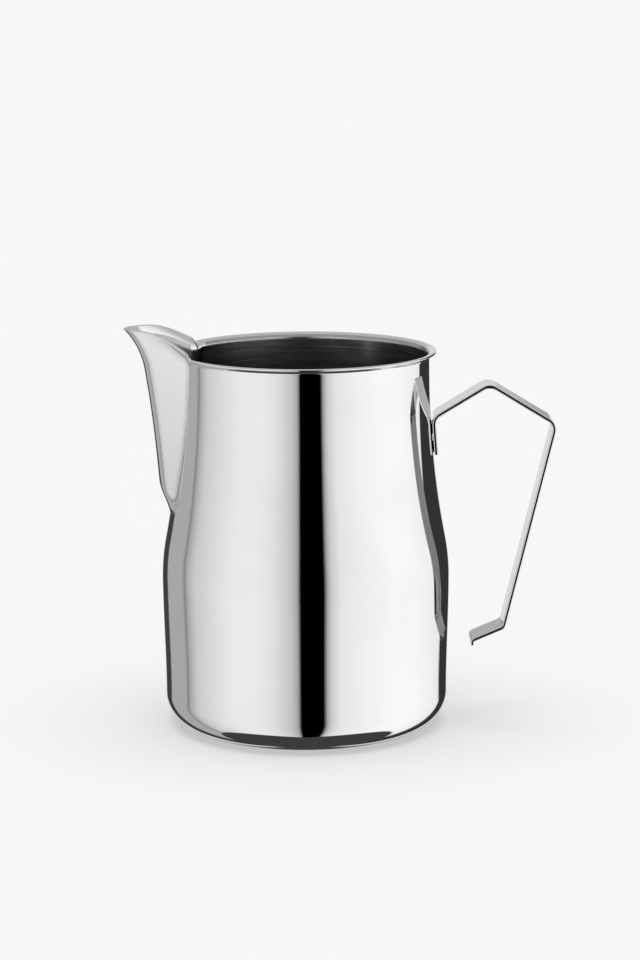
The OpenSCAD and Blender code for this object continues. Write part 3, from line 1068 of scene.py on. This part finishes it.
@dataclass
class SpotWelds:
    """Two spot welds that hold the handle's flange to the cup."""

    handle: StrapHandle
    finishes: Finishes
    inner_bump: float = 0.13

    def build(self) -> bpy.types.Object:
        """Build both spot welds.

        Returns:
            The object that holds both.
        """
        mesh = SheetMesh("handle_spot_weld_marks")
        path = self.handle.path
        out = path.flange()[-1]
        axis = np.array([out[0], 0.0, out[1]])
        across = np.array([-axis[2], 0.0, axis[0]])
        sheet, radius = path.cup.sheet, self.handle.spot_radius
        inside, outside = -(sheet + self.inner_bump), path.thickness - self.handle.spot_depth
        rim = radius - 0.1
        profile = np.array([(0.0, inside), (0.5 * rim, inside + 0.01), (0.8 * rim, inside + 0.035),
                            (0.95 * rim, inside + 0.075), (rim, inside + 0.14), (rim, -0.2),
                            (rim, outside - 0.08), (rim, outside + 0.012), (0.93 * rim, outside + 0.03),
                            (0.8 * rim, outside + 0.02), (0.4 * rim, outside + 0.026), (0.0, outside + 0.03)])
        slope = line_slopes(profile)
        slope[0], slope[-1] = [1.0, 0.0], [-1.0, 0.0]
        turn = np.linspace(0, 2 * math.pi, 49)
        ring = np.cos(turn)[:, None] * across + np.sin(turn)[:, None] * ALONG_Y
        ring[-1] = ring[0]
        for spot in self.handle.spots():
            middle = np.array([spot[0], 0.0, spot[1]])
            points = middle + ring[None] * profile[:, 0, None, None] + axis * profile[:, 1, None, None]
            normals = ring[None] * slope[:, 1, None, None] - axis * slope[:, 0, None, None]
            mesh.add_net(points, normals)
        return mesh.build([self.finishes.spot])


@dataclass
class Studio:
    """Pale floor, soft light and the panels that the polished steel mirrors.

    The surround is what the steel sees.  Each stop is a compass angle, from the camera's
    side (-Y) towards the handle (+X), and the brightness there.  A zone fades in over
    its bands: turn is a share of the circle from the camera's side, tilt is in degrees
    above the level, rise is the upward part of the direction.  Each of backs is a turn,
    a rise and a level, behind the pitcher.  The dark zone under and low behind the
    pitcher is a painted shadow: it stands for the floor's contact shadow as the steel
    would mirror it.
    """

    floor_size: float = 30.0
    floor_tone: float = 0.26
    floor_grain: float = 0.995
    backdrop: float = 0.915
    steel_share: float = 0.885
    lamps: tuple[tuple[str, float, bool], ...] = (("key_softbox", 3.4, True), ("fill_softbox", 6.3, False))
    lamp_angle: float = 55.0
    stops: tuple[tuple[float, float], ...] = (
        (-180, 0.62), (-170, 0.62), (-165, 0.06), (-150, 0.04), (-145.5, 0.06), (-143.5, 0.37), (-116, 0.38),
        (-112.5, 0.22), (-110, 0.36), (-105, 0.47), (-99, 0.58), (-80, 0.70), (-60, 0.82), (-40, 0.82),
        (-26, 0.74), (-12, 0.54), (-6.4, 0.36), (-4.6, 0.0), (14.6, 0.0), (16.4, 0.32), (20, 0.58),
        (28, 0.77), (50, 0.87), (75, 0.93), (100, 0.92), (118, 0.86), (136, 0.78), (140, 0.03),
        (158, 0.045), (166, 0.09), (173, 0.62), (180, 0.62))
    high_turn: Band = (0.085, 0.13)
    high_side_tilt: Band = (9.0, 22.0)
    high_tilt: Band = (22.0, 48.0)
    high_level: float = 0.5
    flag_angle: float = 139.0
    flag_slant: float = 20.0
    flag_drop: float = 0.25
    flag_rise: float = 0.22
    flag_end: Band = (0.97, 0.955)
    flag_level: float = 0.035
    backs: tuple[tuple[Band, Band, float], ...] = (
        ((0.452, 0.466), (-0.01745, -0.08716), 0.94), ((0.435, 0.45), (0.0, 0.03), 0.7))
    # Painted shadow under and low behind the foot, as the steel mirrors it.
    under_rise: Band = (-0.885, -0.865)
    under_slant: float = 0.16
    painted_shadow_level: float = 0.05
    behind_aside: Band = (0.18, 0.06)
    behind_away: Band = (0.3, 0.45)
    behind_rise: Band = (-0.24, -0.28)
    lens: float = 105.0
    pitch: float = 11.033
    heading: float = -0.272
    roll: float = -0.28
    stand: tuple[float, float, float] = (0.51, -820.17, 233.39)

    def build(self) -> None:
        """Build floor, lamps, surround and camera."""
        self._floor()
        self._lamps()
        self._surround()
        self._camera()

    def _floor(self) -> None:
        """Lay a wide, pale, matt floor."""
        mesh = bpy.data.meshes.new("studio_floor")
        size = self.floor_size
        mesh.from_pydata([(-size, -size, 0), (size, -size, 0), (size, size, 0), (-size, size, 0)], [],
                         [(0, 1, 2, 3)])
        floor = put("studio_floor", mesh)
        material = bpy.data.materials.new("matt_studio_floor")
        material.use_nodes = True
        board = NodeBoard(material.node_tree)
        grain = board.noise(board.node("ShaderNodeTexCoord").outputs["Object"], 220.0, 3.0, 0.5)
        tone = board.blend(grain, self.floor_tone * self.floor_grain, self.floor_tone)
        board.finish("Material", board.node("ShaderNodeBsdfDiffuse", in_Color=tone))
        mesh.materials.append(material)
        floor.visible_glossy = False

    def _lamps(self) -> None:
        """Hang two overhead lamps that light the floor and aren't mirrored.

        The key lamp gives the soft shadow round the foot; the fill lamp casts none.
        """
        for name, strength, shadow in self.lamps:
            light = bpy.data.lights.new(name, "SUN")
            light.energy = strength
            light.angle = math.radians(self.lamp_angle)
            light.use_shadow = shadow
            lamp = put(name, light)
            lamp.location = (0.0, 0.0, 2.0)
            lamp.visible_glossy = False

    def _panels(self, board: NodeBoard, share: Socket) -> Socket:
        """Lay the stops round the circle.

        Args:
            board: the world's nodes.
            share: compass direction as a share of the circle, 0.5 at the camera's side.

        Returns:
            The colour in that direction.
        """
        ramp = board.node("ShaderNodeValToRGB", in_Fac=share)
        elements = ramp.color_ramp.elements
        while len(elements) < len(self.stops):
            elements.new(0.5)
        for element, (angle, level) in zip(elements, self.stops):
            level = level / self.steel_share
            element.position = (angle + 180.0) / 360.0
            element.color = (level, level, level, 1.0)
        return ramp.outputs["Color"]

    def _flag(self, board: NodeBoard, share: Socket,
              z: Socket) -> Socket:
        """Mark the dark flag past the handle, whose near edge slants.

        Args:
            board: the world's nodes.
            share: compass direction as a share of the circle.
            z: upward part of the direction.

        Returns:
            1 inside the flag, 0 outside.
        """
        rise = board.math("DIVIDE", board.math("ADD", z, self.flag_drop), self.flag_rise, clamp=True)
        edge = board.math("ADD", board.math("MULTIPLY", rise, -self.flag_slant), self.flag_angle)
        past = board.math("SUBTRACT", board.math("MULTIPLY", share, 360.0), board.math("ADD", edge, 180.0))
        return board.product(board.remap(past, -1.0, 1.0), board.remap(share, *self.flag_end))

    def _surround(self) -> None:
        """Wire the world: a plain backdrop for the camera, panels for the steel."""
        world = bpy.data.worlds.new("studio_surround")
        bpy.context.scene.world = world
        world.use_nodes = True
        board = NodeBoard(world.node_tree)
        way = board.node("ShaderNodeTexCoord").outputs["Generated"]
        parts = board.node("ShaderNodeSeparateXYZ", in_Vector=way)
        x, y, z = (parts.outputs[k] for k in "XYZ")
        angle = board.math("ARCTAN2", x, board.math("MULTIPLY", y, -1.0))
        share = board.math("FRACT", board.math("ADD", board.math("DIVIDE", angle, 2 * math.pi), 1.5))
        turned = board.math("ABSOLUTE", board.math("SUBTRACT", share, 0.5))
        aside = board.math("ABSOLUTE", x)
        side, overhead = (np.sin(np.radians(band)).tolist() for band in (self.high_side_tilt, self.high_tilt))
        high = board.math("MAXIMUM", board.remap(z, *overhead),
                          board.product(board.remap(z, *side), board.remap(turned, *self.high_turn)))
        tone = board.blend(self._flag(board, share, z), self._panels(board, share), self.flag_level)
        for turn, rise, level in self.backs:
            tone = board.blend(board.product(board.remap(turned, *turn), board.remap(z, *rise)), tone, level)
        tone = board.blend(high, tone, self.high_level)
        # Painted shadow: directions steeply down, and low behind the pitcher, turn almost black, standing for
        # the floor's contact shadow under the foot as the steel would mirror it.
        behind = board.product(board.remap(aside, *self.behind_aside), board.remap(y, *self.behind_away),
                               board.remap(z, *self.behind_rise))
        depth = board.math("SUBTRACT", z, board.math("MULTIPLY", aside, self.under_slant))
        clear = board.math("SUBTRACT", board.remap(depth, *self.under_rise), behind, clamp=True)
        tone = board.blend(clear, self.painted_shadow_level, tone)
        seen = board.blend(board.node("ShaderNodeLightPath").outputs["Is Camera Ray"], tone, self.backdrop)
        board.finish("World", board.node("ShaderNodeBackground", in_Color=seen))

    def _camera(self) -> None:
        """Set up the camera: a long lens a little above the rim."""
        data = bpy.data.cameras.new("studio_camera")
        data.sensor_width = 36.0
        data.lens = self.lens
        data.clip_start = 0.01
        camera = put("studio_camera", data)
        frame = (Matrix.Rotation(math.radians(self.heading), 4, "Z")
                 @ Matrix.Rotation(math.radians(90.0 - self.pitch), 4, "X")
                 @ Matrix.Rotation(math.radians(self.roll), 4, "Z"))
        frame.translation = Vector(self.stand) * MM
        camera.matrix_world = frame
        bpy.context.scene.camera = camera
        bpy.context.scene.view_settings.view_transform = "Standard"


def main() -> None:
    """Build the pitcher piece by piece, then its studio."""
    logging.basicConfig(level=logging.INFO, format="%(name)s: %(message)s")
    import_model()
    Studio().build()

    finishes = Finishes()
    skin = BlendedSkin()
    cup = CupShell(skin, finishes).build()
    spout = SkinPiece(skin, Region.SPOUT, finishes.spout, finishes.satin_with_painted_shade).build()
    weld = SkinPiece(skin, Region.WELD, finishes.weld, finishes.weld).build()
    strap = StrapHandle(StrapPath(skin.form.cup), finishes)
    handle = strap.build()
    spots = SpotWelds(strap, finishes).build()

    for piece, node, slot in ((cup, "body_shell", "polished_steel"), (spout, "spout", "spout_steel"),
                              (weld, "spout_weld", "weld_metal"), (handle, "handle", "strap_steel"),
                              (spots, "handle_spot_welds", "spot_metal")):
        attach(piece, "root")
        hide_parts(node)
        log.info("%s stands for %s, finish %s", piece.name, node, slot)


if __name__ == "__main__":
    main()
